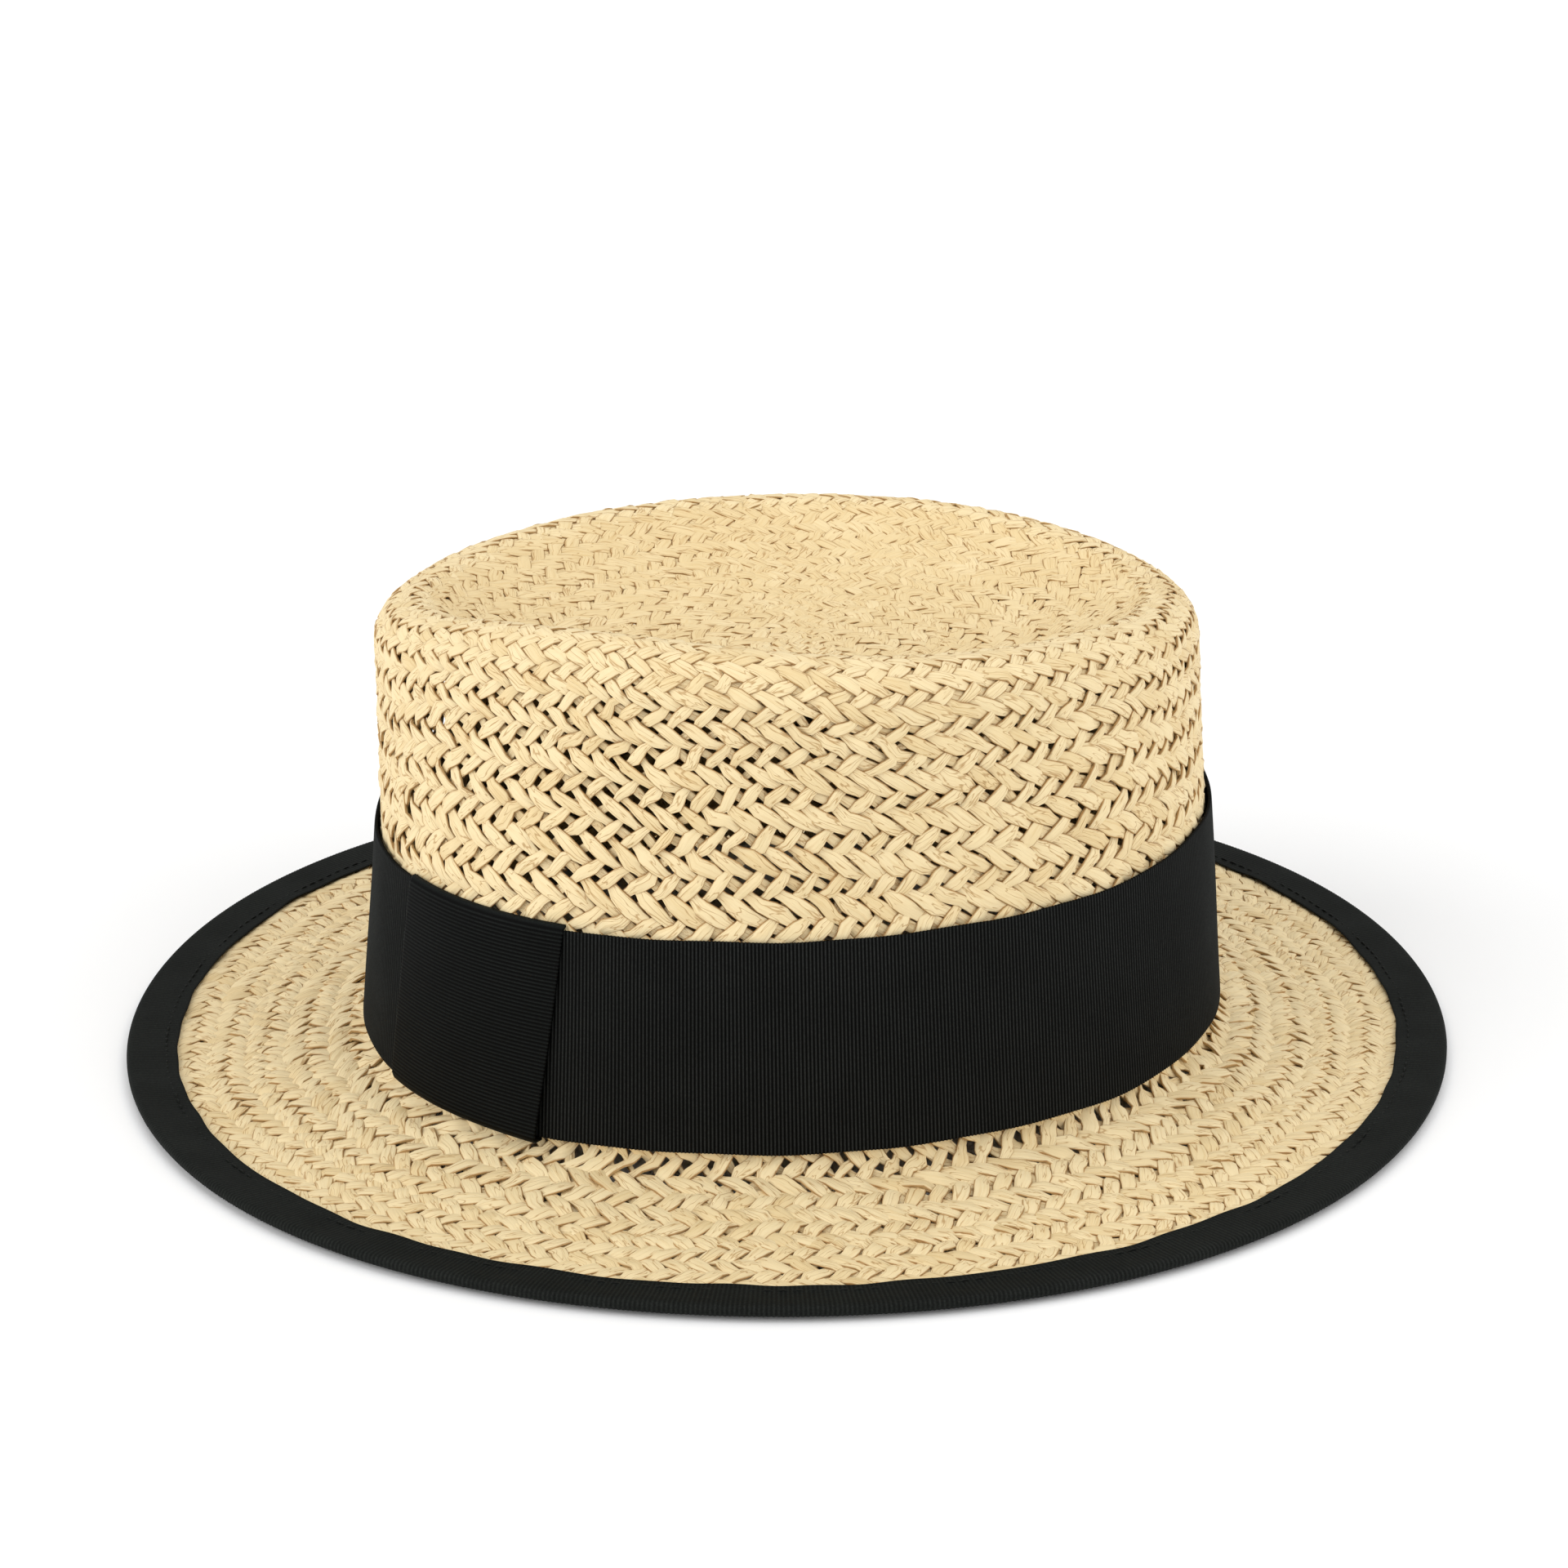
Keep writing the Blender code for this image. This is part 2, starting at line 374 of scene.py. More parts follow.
# How the strands lie: the share of their room that strands falling and rising to the right
# take up, how high they rise and fall, and how uneven they are
strandFit = np.array(
    (
        # way, falling, rising, relief, unevenness
        (0.000, 1.20, 1.18, 0.55, 0.45),
        (0.018, 1.17, 1.14, 0.72, 0.50),
        (0.028, 1.14, 1.10, 0.86, 0.60),
        (0.042, 1.10, 1.05, 0.95, 0.80),
        (0.051, 1.04, 0.97, 1.00, 2.30),
        (0.062, 1.06, 0.95, 1.00, 1.00),
        (0.100, 1.05, 0.91, 1.00, 1.00),
        (0.136, 1.06, 0.92, 1.00, 1.00),
        (0.147, 1.16, 1.08, 0.80, 0.60),
        (0.158, 1.24, 1.22, 0.42, 0.40),
        (0.234, 1.24, 1.22, 0.42, 0.40),
    )
)

# Where the plait is looser: turn in degrees and way along, how far each reaches, how much looser
looseSpots = (
    (118.0, 0.121, 26.0, 0.017, 0.27),
    (142.0, 0.120, 62.0, 0.024, 0.15),
    (116.0, 0.0505, 15.0, 0.0026, 0.55),
    (147.0, 0.0505, 16.0, 0.0024, 0.36),
    (136.0, 0.103, 60.0, 0.006, 0.12),
)


# Slow drift of the plait round the hat and up it: size, waves round, waves along, phase
driftAside = ((0.0009, 5, 90, 0), (0.0006, 11, -140, 1))
driftUp = ((0.0007, 7, 60, 2), (0.0005, 13, 0, 2.1))


def drift(turn, along, table):
    total = 0 * turn
    for size, countRound, countAlong, phase in table:
        total = total + size * np.sin(countRound * turn + countAlong * along + phase)
    return total


def wander(turn, along):
    middle = mix(alongAt["foot"], alongAt["rimStart"], 0.5)
    leaning = -plait["leanDrift"] * np.sin(2 * turn - 4.5) * (along - middle)
    return leaning + drift(turn, along, driftAside), drift(turn, along, driftUp)


def looseness(turn, along):
    total = 0 * turn
    for place, way, wide, tall, amount in looseSpots:
        away = (np.degrees(turn) - place + 180) % 360 - 180
        total = total + amount * np.exp(-((away / wide) ** 2) - ((along - way) / tall) ** 2)
    return total


def plaitFamily(start, end, strands, leaning, dives):
    # leaning 1 rises to the right and -1 to the left, seen from outside
    # dives says whether the strands go down under the next ring at their start and end
    p, vary = plait, plaitChance
    first, last = (round(float(np.interp(way, fineWays, rowCounts))) for way in (start, end))
    last += 1  # one row under the next ring
    halves = []
    for row in range(first, last):
        way = np.interp(row, rowCounts, fineWays)
        hidden = alongAt["foot"] + p["hiddenFrom"] < way < alongAt["waist"] - p["hiddenFrom"]
        halves += [row] if hidden else [row, row + 0.5]
    rows = np.array(halves + [last], float)
    ways = np.interp(rows, rowCounts, fineWays)
    gap = fullTurn / strands
    slide = (0.5 * leaning - p["lean"]) * gap
    turn = gap * np.arange(strands)[:, None] + slide * rows
    along = np.broadcast_to(ways, turn.shape)

    def noise(size):
        lines = chance.normal(0, size, (strands, last - first + 1))
        return np.stack([np.interp(rows, np.arange(first, last + 1), line) for line in lines])

    fit = [np.interp(ways, strandFit[:, 0], strandFit[:, k]) for k in range(1, 5)]
    falling, rising, relief, uneven = fit
    room = rising if leaning > 0 else falling
    halfWays = np.maximum(np.interp(along, alongStations, meanHalf), p["leastRadius"])
    sideways, upward = wander(turn, along)
    fade = np.clip(np.minimum(rows - first, last - rows) / 2, 0, 1)
    calm = np.clip(halfWays / p["calmWithin"], 0, 1)
    turn = turn + (sideways + noise(vary["aside"])) * calm / halfWays
    along = along + (upward + noise(vary["aside"] * vary["along"])) * fade
    phase = (rows + (2 if leaning > 0 else 0)) % 4
    over = np.interp(phase, *zip(*p["over"]))
    ends = dives[0] * np.clip(1 - 2 * (rows - first), 0, 1)
    ends = ends + dives[1] * np.clip(1 - 2 * (last - rows), 0, 1)
    over = over * (1 - p["flatAtSeams"] * ends)
    normals = hatNormal(turn, along)
    offset = p["lift"] * relief * over - p["depth"] - p["dive"] * ends + noise(vary["height"])
    centres = hatPoint(turn, along) + normals * offset[..., None]
    pitch = halfWays * gap
    rowHeight = np.interp(along, rowTable[:, 0], rowTable[:, 1])
    apart = pitch * np.sin(np.arctan2(2 * rowHeight, pitch))
    belly = np.interp(phase, *zip(*p["belly"]))
    thinner = p["slackOver"] + p["slackUnder"] * np.clip(1 - belly, 0, 1)
    slack = looseness(turn, along) * thinner
    widths = apart * room * belly * (1 + uneven * noise(vary["width"])) * (1 - slack)
    widths = np.clip(widths, p["narrowest"], p["widest"])
    thicks = p["strandThick"] * mix(relief, 1, p["evenThick"])
    thicks = thicks * (1 + noise(vary["thick"])) * (1 - p["thinOver"] * over)
    rolls = uneven * noise(vary["roll"])
    return sweepStrands(centres, normals, widths, thicks, rolls, p["sides"], p["squareness"])


# The small woven square in the middle of the top, where the plait begins
middleWeave = {
    "strands": 6,
    "gap": 0.0025,
    "width": 0.0024,
    "reach": 0.0105,
    "steps": 17,
    "sway": 0.0002,
    "swayWaves": 300,
}


def middlePatch(direction):
    # the strands that run one way: 0 across the head, 1 along it
    m = middleWeave
    middle = hatPoint(0.0, alongAt["middle"])
    travel = np.linspace(-m["reach"], m["reach"], m["steps"])
    centres = np.zeros((m["strands"], m["steps"], 3))
    for line in range(m["strands"]):
        place = (line - (m["strands"] - 1) / 2) * m["gap"]
        over = np.cos(math.pi * (travel / m["gap"] - 0.5 + line + direction))
        centres[line, :, direction] = travel
        centres[line, :, 1 - direction] = place + m["sway"] * np.sin(m["swayWaves"] * travel + line)
        centres[line, :, 2] = middle[2] - plait["depth"] + plait["lift"] * over
    normals = np.zeros_like(centres)
    normals[..., 2] = 1
    shape = centres.shape[:2]
    widths, thicks = np.full(shape, m["width"]), np.full(shape, plait["strandThick"])
    rolls = np.zeros(shape)
    return sweepStrands(
        centres, normals, widths, thicks, rolls, plait["sides"], plait["squareness"]
    )


dishTone = {"share": 0.4, "paintedShade": 0.16}  # the dish is more even than the wall, and its strands are darkened as painted shade on the top


def addStraw():
    pieces = []
    for side, leaning in (("Rising", 1), ("Falling", -1)):
        parts = {}
        before = 0
        for ring, after in zip(plaitRings, plaitRings[1:]):
            name, start, strands = ring
            dives = (before != strands, after[2] != strands)
            made = plaitFamily(start, after[1], strands, leaning, dives)
            before = strands
            if name == "dish":
                # the dish's strands get less tone variation and a painted shade that darkens them
                made[3][:] = dishTone["share"] * made[3] - dishTone["paintedShade"]
            parts.setdefault(name, []).append(made)
        parts["dish"].append(middlePatch(0 if leaning > 0 else 1))
        for name, rings in parts.items():
            pieces.append(makeMesh(name + side, *joinParts(rings)))
    for piece in pieces:
        # keeps the strands' faces flat and their edges crisp
        piece.modifiers.new("flatFaces", "WEIGHTED_NORMAL")
        print("straw:", piece.name, 2 * len(piece.data.polygons), "triangles")
    return pieces


# Ribbons: ribs stand out from a thin wall
ribSizes = {
    "pitch": 0.0008,
    "height": 0.00018,
    "wall": 0.0006,
    "samples": 3,  # points for each rib
    "edgeSharpness": 60,
    "flatterAtEdges": 0.4,
}


def ribbing(phase):
    return 0.5 + 0.5 * np.cos(phase)


def ribPhase(count, samples):
    return fullTurn * np.arange(count) / samples


def ribRise(phase, edge):
    # how far the ribs' faces lie over the ribbon's back, flatter at its edges
    return ribSizes["height"] * ribbing(phase) * (1 - ribSizes["flatterAtEdges"] * edge)


def waves(turn, table):
    # table rows: size, waves round the hat, phase
    return sum(size * np.sin(count * turn + phase) for size, count, phase in table)


def wallPoint(turn, height, outset):
    # on the straight stretch of wall that the band covers
    f = hatForm
    turn, height, outset = np.broadcast_arrays(turn, height, outset)
    share = (height - f["footHeight"]) / (f["waistHeight"] - f["footHeight"])
    halfLength = mix(f["footLength"], f["waistLength"], share) / 2 + outset
    halfWidth = mix(f["footWidth"], f["waistWidth"], share) / 2 + outset
    return ovalPoint(turn, halfLength, halfWidth, height, *planShapes["foot"])


def brimPoint(turn, inset, height):
    f = hatForm
    turn, inset, height = np.broadcast_arrays(turn, inset, height)
    halfLength, halfWidth = f["brimLength"] / 2 - inset, f["brimWidth"] / 2 - inset
    height = height + edgeCurl(turn, inset)
    return ovalPoint(turn, halfLength, halfWidth, height, *planShapes["brim"])


def sheetMesh(name, outer, inner, closedRound, ribsAt):
    # outer and inner are grids of points: columns round the hat, rows across the ribbon
    columns, rows = outer.shape[:2]
    loop = np.concatenate([outer, inner[:, ::-1]], axis=1)
    number = np.arange(columns * 2 * rows).reshape(columns, 2 * rows)
    beside = np.roll(number, -1, axis=1)
    if closedRound:
        ahead, aheadBeside = np.roll(number, -1, axis=0), np.roll(beside, -1, axis=0)
        faces = np.stack([number, ahead, aheadBeside, beside], -1).reshape(-1, 4)
    else:
        faces = np.stack([number[:-1], number[1:], beside[1:], beside[:-1]], -1).reshape(-1, 4)
        for column, flip in ((0, False), (columns - 1, True)):
            ends = np.stack(
                [
                    number[column, : rows - 1],
                    number[column, 1:rows],
                    number[column, ::-1][1:rows],
                    number[column, ::-1][: rows - 1],
                ],
                -1,
            )
            faces = np.concatenate([faces, ends[:, ::-1] if flip else ends])
    points = loop.reshape(-1, 3)
    # the share of a rib's crest at each point, which the ribbon colours use for painted shade in
    # the grooves and painted highlight on the crests
    crest = np.zeros((columns, 2 * rows))
    crest[:, :rows] = ribsAt
    made = makeMesh(name, points, faces, np.zeros((len(faces), 4, 2)))
    ribs = made.data.attributes.new("ribCrest", "FLOAT", "POINT")
    ribs.data.foreach_set("value", np.ascontiguousarray(crest, np.float32).ravel())
    return made


def gridNormals(grid, closedRound):
    if closedRound:
        along = np.roll(grid, -1, axis=0) - np.roll(grid, 1, axis=0)
    else:
        along = np.gradient(grid, axis=0)
    across = np.gradient(grid, axis=1)
    return unit(np.cross(along, across))


bandSizes = {
    "height": 0.0445,
    "bottom": 0.0111,
    "out": 0.00050,
    "wayRound": 0.588,
    "rows": (0.0, 0.010, 0.03, 0.25, 0.5, 0.75, 0.97, 0.990, 1.0),
    "ribEnds": 0.00012,  # how far the ribs' ends stand past the edges
    "sway": ((0.00015, 9, 1), (0.0001, 23, 0)),
    "ripple": 0.0001,
}


def addBand():
    b = bandSizes
    columns = round(b["wayRound"] / ribSizes["pitch"]) * ribSizes["samples"]
    turn = (fullTurn * np.arange(columns) / columns)[:, None]
    phase = ribPhase(columns, ribSizes["samples"])[:, None]
    up = np.array(b["rows"])
    edge = np.abs(2 * up - 1) ** ribSizes["edgeSharpness"]
    height = b["bottom"] + b["height"] * up
    height = height + b["ribEnds"] * ribbing(phase) * edge * np.sign(up - 0.5)
    height = height + waves(turn, b["sway"])
    base = wallPoint(turn, height, b["out"] + b["ripple"] * np.sin(14 * turn + 5 * up))
    normals = gridNormals(base, True)
    outer = base + normals * (ribSizes["wall"] + ribRise(phase, edge))[..., None]
    return sheetMesh("hatBand", outer, base, True, ribbing(phase) + 0 * height)


wrapSizes = {
    "start": 79.4,  # turns in degrees
    "end": 107.2,
    "slant": 3.0,
    "flare": 0.0017,  # how far its lower free corner stands off
    "out": 0.00125,
    "pastBand": 0.0004,
    "tuckHeight": 0.00025,
    "tuckOut": 0.0003,
    "foldDrop": 0.00035,
    "foldReach": 0.02,
    "ribEnds": 0.0012,  # in radians
    "edgeColumns": (0, 0.006, 0.02),
    "middleColumns": 25,
}


def wrapTurn(share, up):
    w = wrapSizes
    return np.radians(mix(w["start"], w["end"], share) + w["slant"] * (up - 0.5))


def addWrap():
    w = wrapSizes
    rows = round(bandSizes["height"] / ribSizes["pitch"]) * ribSizes["samples"] + 1
    near = np.array(w["edgeColumns"])
    between = np.linspace(0.05, 0.95, w["middleColumns"])
    share = np.concatenate([near, between, 1 - near[::-1]])[:, None]
    up = np.linspace(0, 1, rows)[None]
    phase = ribPhase(rows, ribSizes["samples"])[None]
    edge = np.abs(2 * share - 1) ** ribSizes["edgeSharpness"]
    flare = w["flare"] * share**4 * (1 - up) ** 2
    ease = w["foldDrop"] * (np.exp(-up / w["foldReach"]) + np.exp(-(1 - up) / w["foldReach"]))
    turn = wrapTurn(share, up) + w["ribEnds"] * ribbing(phase) * edge * np.sign(share - 0.5)
    bottom = bandSizes["bottom"] - w["pastBand"]
    top = bandSizes["bottom"] + bandSizes["height"] + w["pastBand"]
    base = wallPoint(turn, mix(bottom, top, up), w["out"] + flare - ease)
    tuckLow = wallPoint(turn[:, :1], bottom - w["tuckHeight"], w["tuckOut"])
    tuckHigh = wallPoint(turn[:, -1:], top + w["tuckHeight"], w["tuckOut"])
    base = np.concatenate([tuckLow, base, tuckHigh], axis=1)
    normals = gridNormals(base, False)
    rises = np.pad(ribRise(phase, edge), ((0, 0), (1, 1)))
    outer = base + normals * (ribSizes["wall"] + rises)[..., None]
    crest = np.pad(ribbing(phase) + 0 * share, ((0, 0), (1, 1)), mode="edge")
    return sheetMesh("bandWrap", outer, base, False, crest)


bindingSizes = {
    "pitch": 0.00095,
    "width": 0.0113,
    "top": 0.0027,
    "wall": 0.00035,
    "wayRound": 0.91,
    "samples": 2,
    "ribHeight": 0.00008,
    "narrowerBelow": 0.0008,
    "foldSteps": 6,
    "foldBulge": 1.1,
    "foldInset": 0.0002,
    "sewnEdge": ((0.00014, 17, 0), (0.00010, 31, 2), (0.00008, 57, 1)),
    "lift": ((0.00012, 25, 0.5), (0.0001, 47, 0)),
    # on the brim from the fold inward: place as a share of the width, height over its top
    "above": ((0.4, 0.0), (0.95, -0.00005), (1.0, 0.00005)),
    "below": (1.0, 0.95),  # places under the brim, from the inner edge outward
}


def addBinding():
    b = bindingSizes
    columns = round(b["wayRound"] / b["pitch"]) * b["samples"]
    turn = (fullTurn * np.arange(columns) / columns)[:, None]
    phase = ribPhase(columns, b["samples"])[:, None]
    half = b["top"] / 2
    innerEdge = b["width"] + waves(turn, b["sewnEdge"])
    fold = np.linspace(0, math.pi, b["foldSteps"])[None]
    foldInset = half * b["foldBulge"] * (1 - np.sin(fold)) + b["foldInset"]
    places, heights = np.array(b["above"]).T
    lowInset = np.array(b["below"])[None] * (innerEdge - b["narrowerBelow"])
    highInset = places[None] * innerEdge
    highHeight = b["top"] + heights[None] + waves(turn, b["lift"])
    inset = np.concatenate([lowInset, foldInset + 0 * turn, highInset], axis=1)
    foldHeight = half * (1 - np.cos(fold)) + 0 * turn
    height = np.concatenate([0 * lowInset, foldHeight, highHeight], axis=1)
    outer = brimPoint(turn, inset, height)
    normals = gridNormals(outer, True)
    edge = np.zeros(inset.shape[1])
    edge[[0, -1]] = 1
    rises = b["ribHeight"] * ribbing(phase) * (1 - edge)
    inner = outer - normals * b["wall"]
    outer = outer - normals * (b["ribHeight"] - rises)[..., None]
    return sheetMesh("brimBinding", outer, inner, True, ribbing(phase) + 0 * inset)


stitchSizes = {
    "inset": 0.0088,
    "gap": 0.0030,
    "long": 0.0021,
    "thick": 0.00042,
    "wayRound": 0.86,
    "radius": 0.136,
    "sunkEnds": 0.00022,
    "thinEnds": 0.45,
    "flatness": 0.8,
    "sway": ((0.0001, 40, 0),),
    "heights": ((0.00004, 1), (0.00012, -1)),  # over the binding's top and over the table
    "lowest": 0.0002,
    "steps": 4,
    "sides": 6,
    "squareness": 0.52,
}


def addStitches():
    s = stitchSizes
    count = round(s["wayRound"] / s["gap"])
    middle = fullTurn * np.arange(count) / count
    travel = np.linspace(-1, 1, s["steps"])
    turn = middle[:, None] + s["long"] / 2 / s["radius"] * travel
    inset = s["inset"] + waves(turn, s["sway"])
    thick = s["thick"] * np.broadcast_to(1 - s["thinEnds"] * travel**4, turn.shape)
    parts = []
    for height, side in s["heights"]:
        over = bindingSizes["top"] if side > 0 else 0
        centres = brimPoint(turn, inset, over + height - s["sunkEnds"] * travel**4 * side)
        if side < 0:
            centres[..., 2] = np.maximum(centres[..., 2], s["lowest"])
        normals = np.zeros_like(centres)
        normals[..., 2] = side
        shape = (thick, s["flatness"] * thick, 0 * turn, s["sides"], s["squareness"])
        parts.append(sweepStrands(centres, normals, *shape))
    return makeMesh("bindingStitches", *joinParts(parts))


def newMaterial(name, roughness):
    made = bpy.data.materials.new(name)
    made.use_nodes = True
    tree = made.node_tree
    shader = tree.nodes["Principled BSDF"]
    shader.inputs["Roughness"].default_value = roughness
    return made, tree, shader


def addNode(tree, kind, settings=None, **inputs):
    node = tree.nodes.new(kind)
    for key, value in (settings or {}).items():
        setattr(node, key, value)
    for key, value in inputs.items():
        socket = node.inputs[key.replace("_", " ")]
        if isinstance(value, bpy.types.NodeSocket):
            tree.links.new(value, socket)
        else:
            socket.default_value = value
    return node


def ramp(tree, factor, stops):
    node = tree.nodes.new("ShaderNodeValToRGB")
    tree.links.new(factor, node.inputs["Fac"])
    elements = node.color_ramp.elements
    while len(elements) < len(stops):
        elements.new(0.5)
    for element, (position, colour) in zip(elements, stops):
        element.position = position
        element.color = (*colour, 1.0)
    return node.outputs["Color"]


def tinted(tree, colour, tint, amount):
    node = addNode(tree, "ShaderNodeMix", {"data_type": "RGBA", "blend_type": "MULTIPLY"})
    node.inputs["Factor"].default_value = amount
    tree.links.new(colour, node.inputs[6])
    tree.links.new(tint, node.inputs[7])
    return node.outputs[2]


def added(tree, first, second):
    node = addNode(tree, "ShaderNodeMath", {"operation": "ADD"})
    tree.links.new(first, node.inputs[0])
    tree.links.new(second, node.inputs[1])
    return node.outputs[0]


def addBump(tree, shader, height, strength, distance):
    bump = addNode(tree, "ShaderNodeBump", Strength=strength, Distance=distance, Height=height)
    tree.links.new(bump.outputs["Normal"], shader.inputs["Normal"])


plain = (1.0, 1.0, 1.0)
strawLook = {
    "light": (0.875, 0.714, 0.424),
    "middle": (0.82, 0.640, 0.352),
    # the darker colour of a strand's sides: brown side lines and painted shade in the gaps between
    # strands
    "edge": (0.46, 0.265, 0.085),
    # the darker colour of the creases along a strand is painted shade in its folds
    "crease": (0.46, 0.27, 0.09),
    "spot": (0.90, 0.85, 0.76),
    "creaseShadeShare": 0.72,
    "sideShadeShare": 0.8,
    "spotShare": 0.8,
    # across a strand, along it, slant
    "fibres": (22.0, 1.3, 0.06),
    "creases": (6.5, 0.9, -0.09),
    "spotScale": 70.0,
    "roughness": 0.62,
    "shine": 0.3,
    "bumpStrength": 0.9,
    "bump": 0.00022,
}

# Where the darker edges lie, as shares of the way round a strand: brown lines along its sides and
# painted shade in the gaps between strands
strandSideShade = ((0.15, 0.22, 0.29, 0.36), (0.64, 0.71, 0.78, 0.85))


def strawMaterial():
    look = strawLook
    made, tree, shader = newMaterial("twistedPaper", look["roughness"])
    uv = addNode(tree, "ShaderNodeUVMap", {"uv_map": "lengthwise"}).outputs["UV"]

    def stretched(across, along, slant):
        settings = {"Vector": uv, "Scale": (across, along, 1.0), "Rotation": (0, 0, slant)}
        return {"Vector": addNode(tree, "ShaderNodeMapping", **settings).outputs[0], "Scale": 1.0}

    fine, fold = stretched(*look["fibres"]), stretched(*look["creases"])
    fibre = addNode(tree, "ShaderNodeTexNoise", **fine, Detail=3.0, Roughness=0.55).outputs["Fac"]
    crease = addNode(tree, "ShaderNodeTexNoise", **fold, Detail=2.0, Distortion=0.4).outputs["Fac"]
    place = {"Vector": addNode(tree, "ShaderNodeTexCoord").outputs["Object"]}
    blotch = addNode(tree, "ShaderNodeTexNoise", **place, Scale=look["spotScale"], Detail=3.0)
    tone = addNode(tree, "ShaderNodeAttribute", {"attribute_name": "strandTone"}).outputs["Fac"]
    base = ramp(tree, fibre, ((0.34, look["middle"]), (0.52, look["light"])))
    # thin darker lines along the strands: painted shade in the paper's folds
    lines = ramp(tree, crease, ((0.475, plain), (0.495, look["crease"]), (0.515, plain)))
    # darker sides of each strand: brown side lines and painted shade between the strands
    aroundStrand = addNode(tree, "ShaderNodeSeparateXYZ", Vector=uv).outputs["X"]
    stops = []
    for start, dark, darkEnd, end in strandSideShade:
        stops += [(start, plain), (dark, look["edge"]), (darkEnd, look["edge"]), (end, plain)]
    edges = ramp(tree, aroundStrand, stops)
    shade = added(tree, blotch.outputs["Fac"], tone)
    spots = ramp(tree, shade, ((0.45, look["spot"]), (0.95, plain)))
    colour = tinted(tree, base, lines, look["creaseShadeShare"])
    colour = tinted(tree, colour, edges, look["sideShadeShare"])
    colour = tinted(tree, colour, spots, look["spotShare"])
    tree.links.new(colour, shader.inputs["Base Color"])
    addBump(tree, shader, added(tree, fibre, crease), look["bumpStrength"], look["bump"])
    shader.inputs["Specular IOR Level"].default_value = look["shine"]
    return made


ribbonLooks = {
    # groove and crest colours, roughness: painted shade in the grooves and a painted highlight on
    # the crests
    "bandRibbon": ((0.0010, 0.0011, 0.0010), (0.0268, 0.0292, 0.0278), 0.62),
    "wrapRibbon": ((0.0010, 0.0011, 0.0010), (0.0118, 0.0140, 0.0130), 0.60),
    "bindingRibbon": ((0.0100, 0.0112, 0.0100), (0.0205, 0.0232, 0.0206), 0.66),
    "stitchThread": ((0.0185, 0.0205, 0.0185), (0.0190, 0.0210, 0.0190), 0.60),
}
ribbonGrain = {
    "threadScale": 2600.0,
    "patchScale": 90.0,
    "threadDark": (0.55, 0.55, 0.55),
    "patchDark": (0.80, 0.80, 0.80),
    "threadShare": 0.8,
    "shine": 0.05,
    "bumpStrength": 0.5,
    "bump": 0.00006,
}


def ribbonMaterial(name):
    shadedGroove, crest, roughness = ribbonLooks[name]
    grain = ribbonGrain
    made, tree, shader = newMaterial(name, roughness)
    place = addNode(tree, "ShaderNodeTexCoord").outputs["Object"]
    threads, patches = (
        addNode(tree, "ShaderNodeTexNoise", Vector=place, Scale=scale, Detail=2.0).outputs["Fac"]
        for scale in (grain["threadScale"], grain["patchScale"])
    )
    rib = addNode(tree, "ShaderNodeAttribute", {"attribute_name": "ribCrest"}).outputs["Fac"]
    # ribs darker in their grooves and lighter on their crests: painted shade and painted highlight
    colour = ramp(tree, rib, ((0.25, shadedGroove), (0.90, crest)))
    worn = ramp(tree, patches, ((0.30, grain["patchDark"]), (0.70, plain)))
    rough = ramp(tree, threads, ((0.35, grain["threadDark"]), (0.65, plain)))
    colour = tinted(tree, tinted(tree, colour, rough, grain["threadShare"]), worn, 1.0)
    tree.links.new(colour, shader.inputs["Base Color"])
    addBump(tree, shader, threads, grain["bumpStrength"], grain["bump"])
    shader.inputs["Specular IOR Level"].default_value = grain["shine"]
    return made


# The camera: degrees, metres and millimetres of lens; the last three turn its look
cameraPlace = {
    "azimuth": -134.02,
    "elevation": 23.58,
    "distance": 1.037,
    "lens": 107.96,
    "aboutX": -2.915,
    "aboutY": -0.1118,
    "roll": -0.6102,
}


def lookBack(azimuth, elevation):
    # from the hat towards where a camera or lamp stands; azimuth 0 is in front of the hat
    turn, rise = math.radians(azimuth), math.radians(elevation)
    level = math.cos(rise)
    return Vector((math.sin(turn) * level, -math.cos(turn) * level, math.sin(rise)))


def addCamera():
    c = cameraPlace
    back = lookBack(c["azimuth"], c["elevation"])
    right = (-back).cross(Vector((0, 0, 1))).normalized()
    look = Matrix((right, right.cross(-back), back))
    for name, axis in (("aboutY", "Y"), ("aboutX", "X"), ("roll", "Z")):
        look = Matrix.Rotation(math.radians(c[name]), 3, axis) @ look
    data = bpy.data.cameras.new("photoCamera")
    data.sensor_width = 36.0
    data.lens = c["lens"]
    camera = bpy.data.objects.new("photoCamera", data)
    camera.matrix_world = Matrix.Translation(back * c["distance"]) @ look.transposed().to_4x4()
    bpy.context.scene.collection.objects.link(camera)
    bpy.context.scene.camera = camera


studio = {
    "floorSize": 12.0,
    "floorRoughness": 0.9,
    "lampDistance": 2.0,
    "floorColour": (0.992, 0.993, 0.994),
    "sky": 0.485,
    "lamps": (
        # name, azimuth, elevation, softness in degrees, strength
        ("overhead", 10.0, 68.0, 80.0, 0.94),
        ("leftOfCamera", -198.0, 26.0, 60.0, 1.65),
        ("rightOfCamera", -76.0, 26.0, 60.0, 1.03),
    ),
}


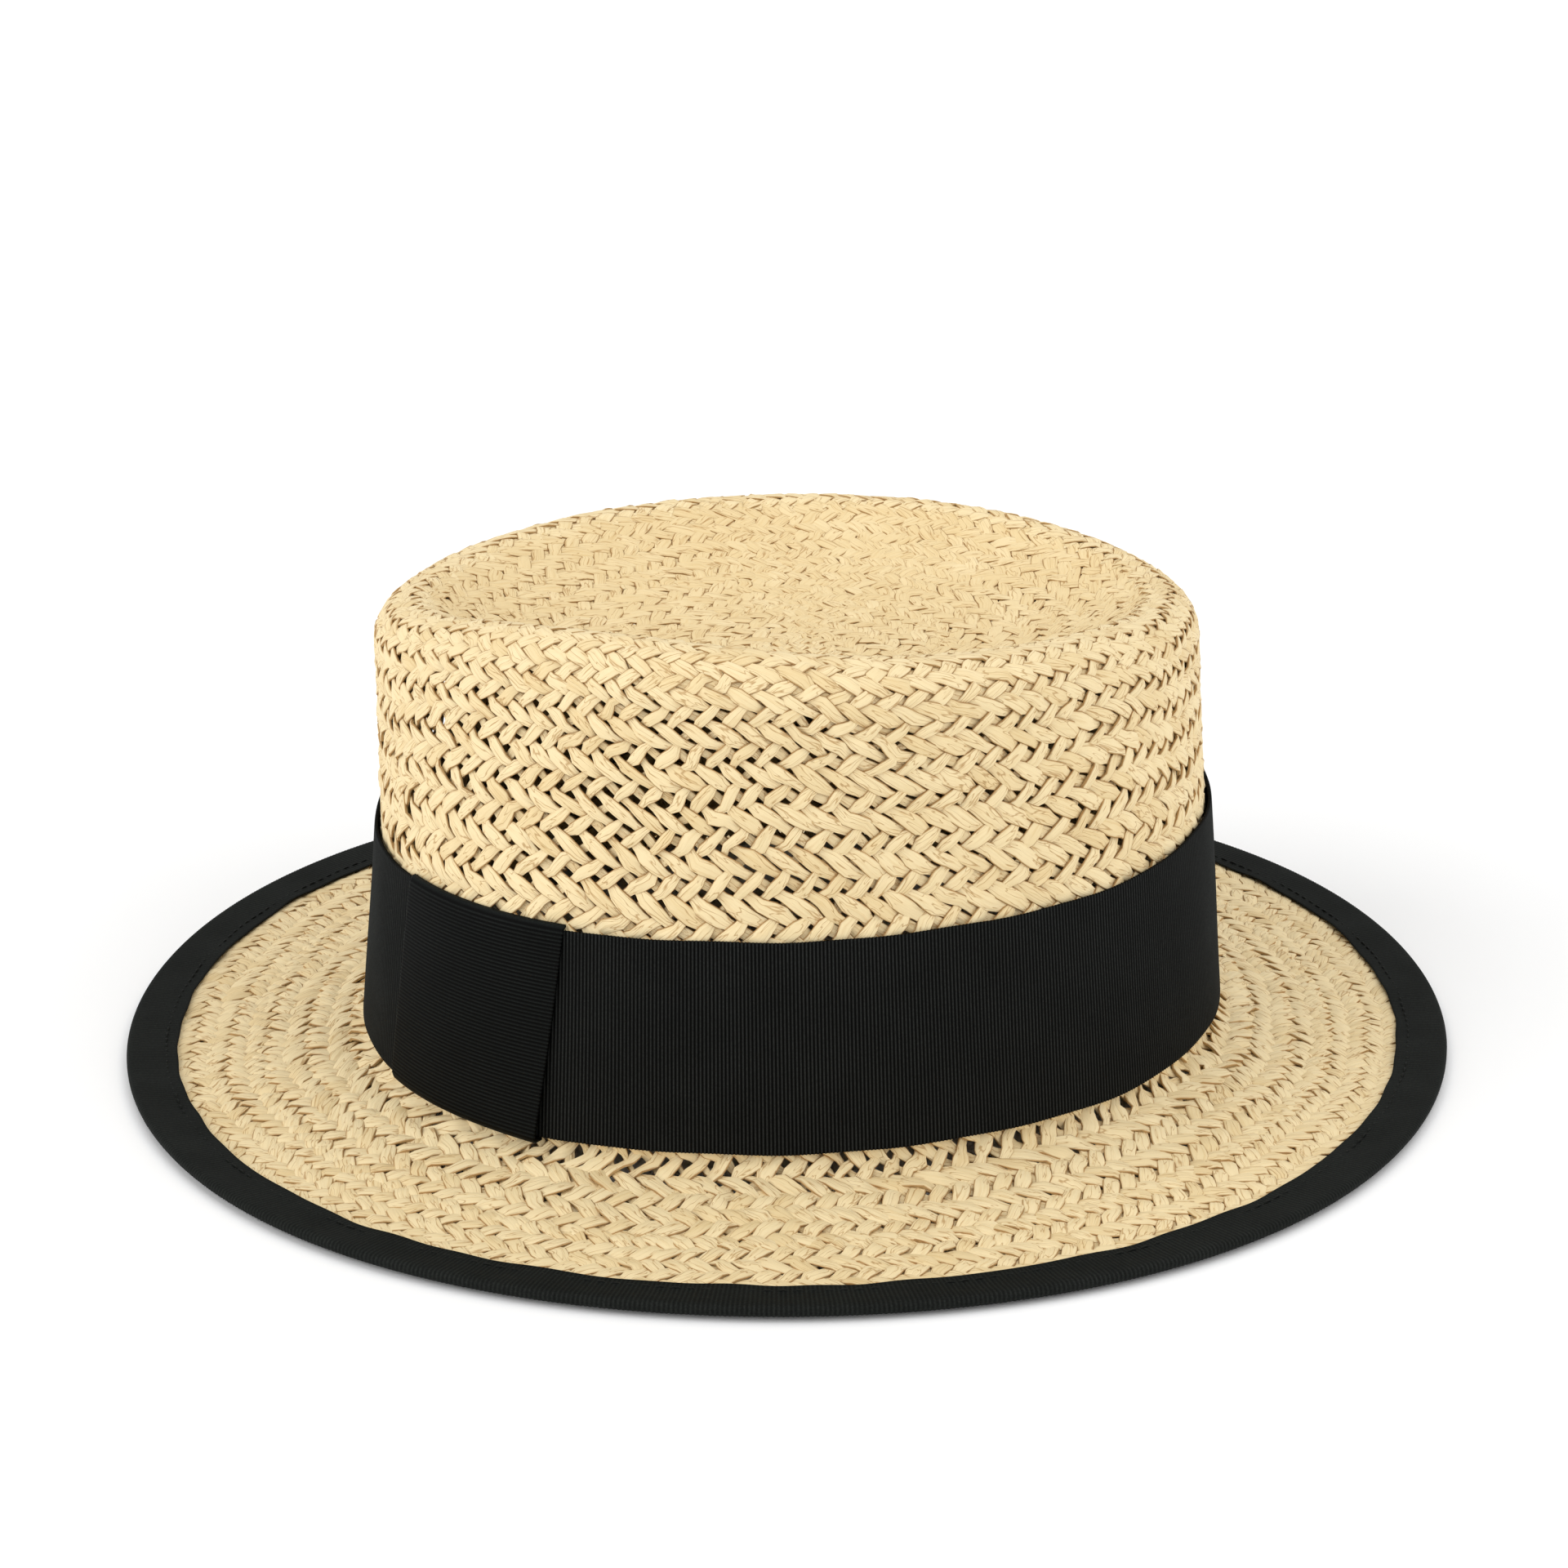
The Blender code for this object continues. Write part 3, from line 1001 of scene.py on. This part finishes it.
def addStudio():
    scene = bpy.context.scene
    size = studio["floorSize"] / 2
    corners = [(-size, -size, 0), (size, -size, 0), (size, size, 0), (-size, size, 0)]
    mesh = bpy.data.meshes.new("studioFloor")
    mesh.from_pydata(corners, [], [(0, 1, 2, 3)])
    floor = bpy.data.objects.new("studioFloor", mesh)
    scene.collection.objects.link(floor)
    paint, _, shader = newMaterial("floorPaint", studio["floorRoughness"])
    shader.inputs["Base Color"].default_value = (*studio["floorColour"], 1.0)
    mesh.materials.append(paint)
    floor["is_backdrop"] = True
    world = bpy.data.worlds.new("studioSky")
    world.use_nodes = True
    background = world.node_tree.nodes["Background"]
    background.inputs["Color"].default_value = (1, 1, 1, 1)
    background.inputs["Strength"].default_value = studio["sky"]
    scene.world = world
    for name, azimuth, elevation, softness, strength in studio["lamps"]:
        data = bpy.data.lights.new(name, "SUN")
        data.angle = math.radians(softness)
        data.energy = strength
        lamp = bpy.data.objects.new(name, data)
        toward = lookBack(azimuth, elevation)
        lamp.location = toward * studio["lampDistance"]
        lamp.rotation_euler = (-toward).to_track_quat("-Z", "Y").to_euler()
        scene.collection.objects.link(lamp)
    scene.view_settings.view_transform = "Standard"


addCamera()
addStudio()
print("camera and studio placed")
strawPieces = addStraw()
paper = strawMaterial()
for piece in strawPieces:
    piece.data.materials.append(paper)
    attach(piece, "root")
    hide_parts("straw_body")
band, wrap, binding, stitches = addBand(), addWrap(), addBinding(), addStitches()
for piece, look, node, slot in (
    (band, "bandRibbon", "hat_band", "band_ribbon"),
    (wrap, "wrapRibbon", "band_wrap", "wrap_ribbon"),
    (binding, "bindingRibbon", "brim_binding", "binding_ribbon"),
    (stitches, "stitchThread", None, "binding_ribbon"),
):
    piece.data.materials.append(ribbonMaterial(look))
    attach(piece, "root")
    if node:
        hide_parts(node)
    print("ribbon:", piece.name, 2 * len(piece.data.polygons), "triangles")

low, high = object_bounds()
sizes = {"cad": [list(cadLow), list(cadHigh)], "visual": [list(low), list(high)]}
for name, box in sizes.items():
    print("size of", name, [round(1000 * (b - a), 1) for a, b in zip(*box)])
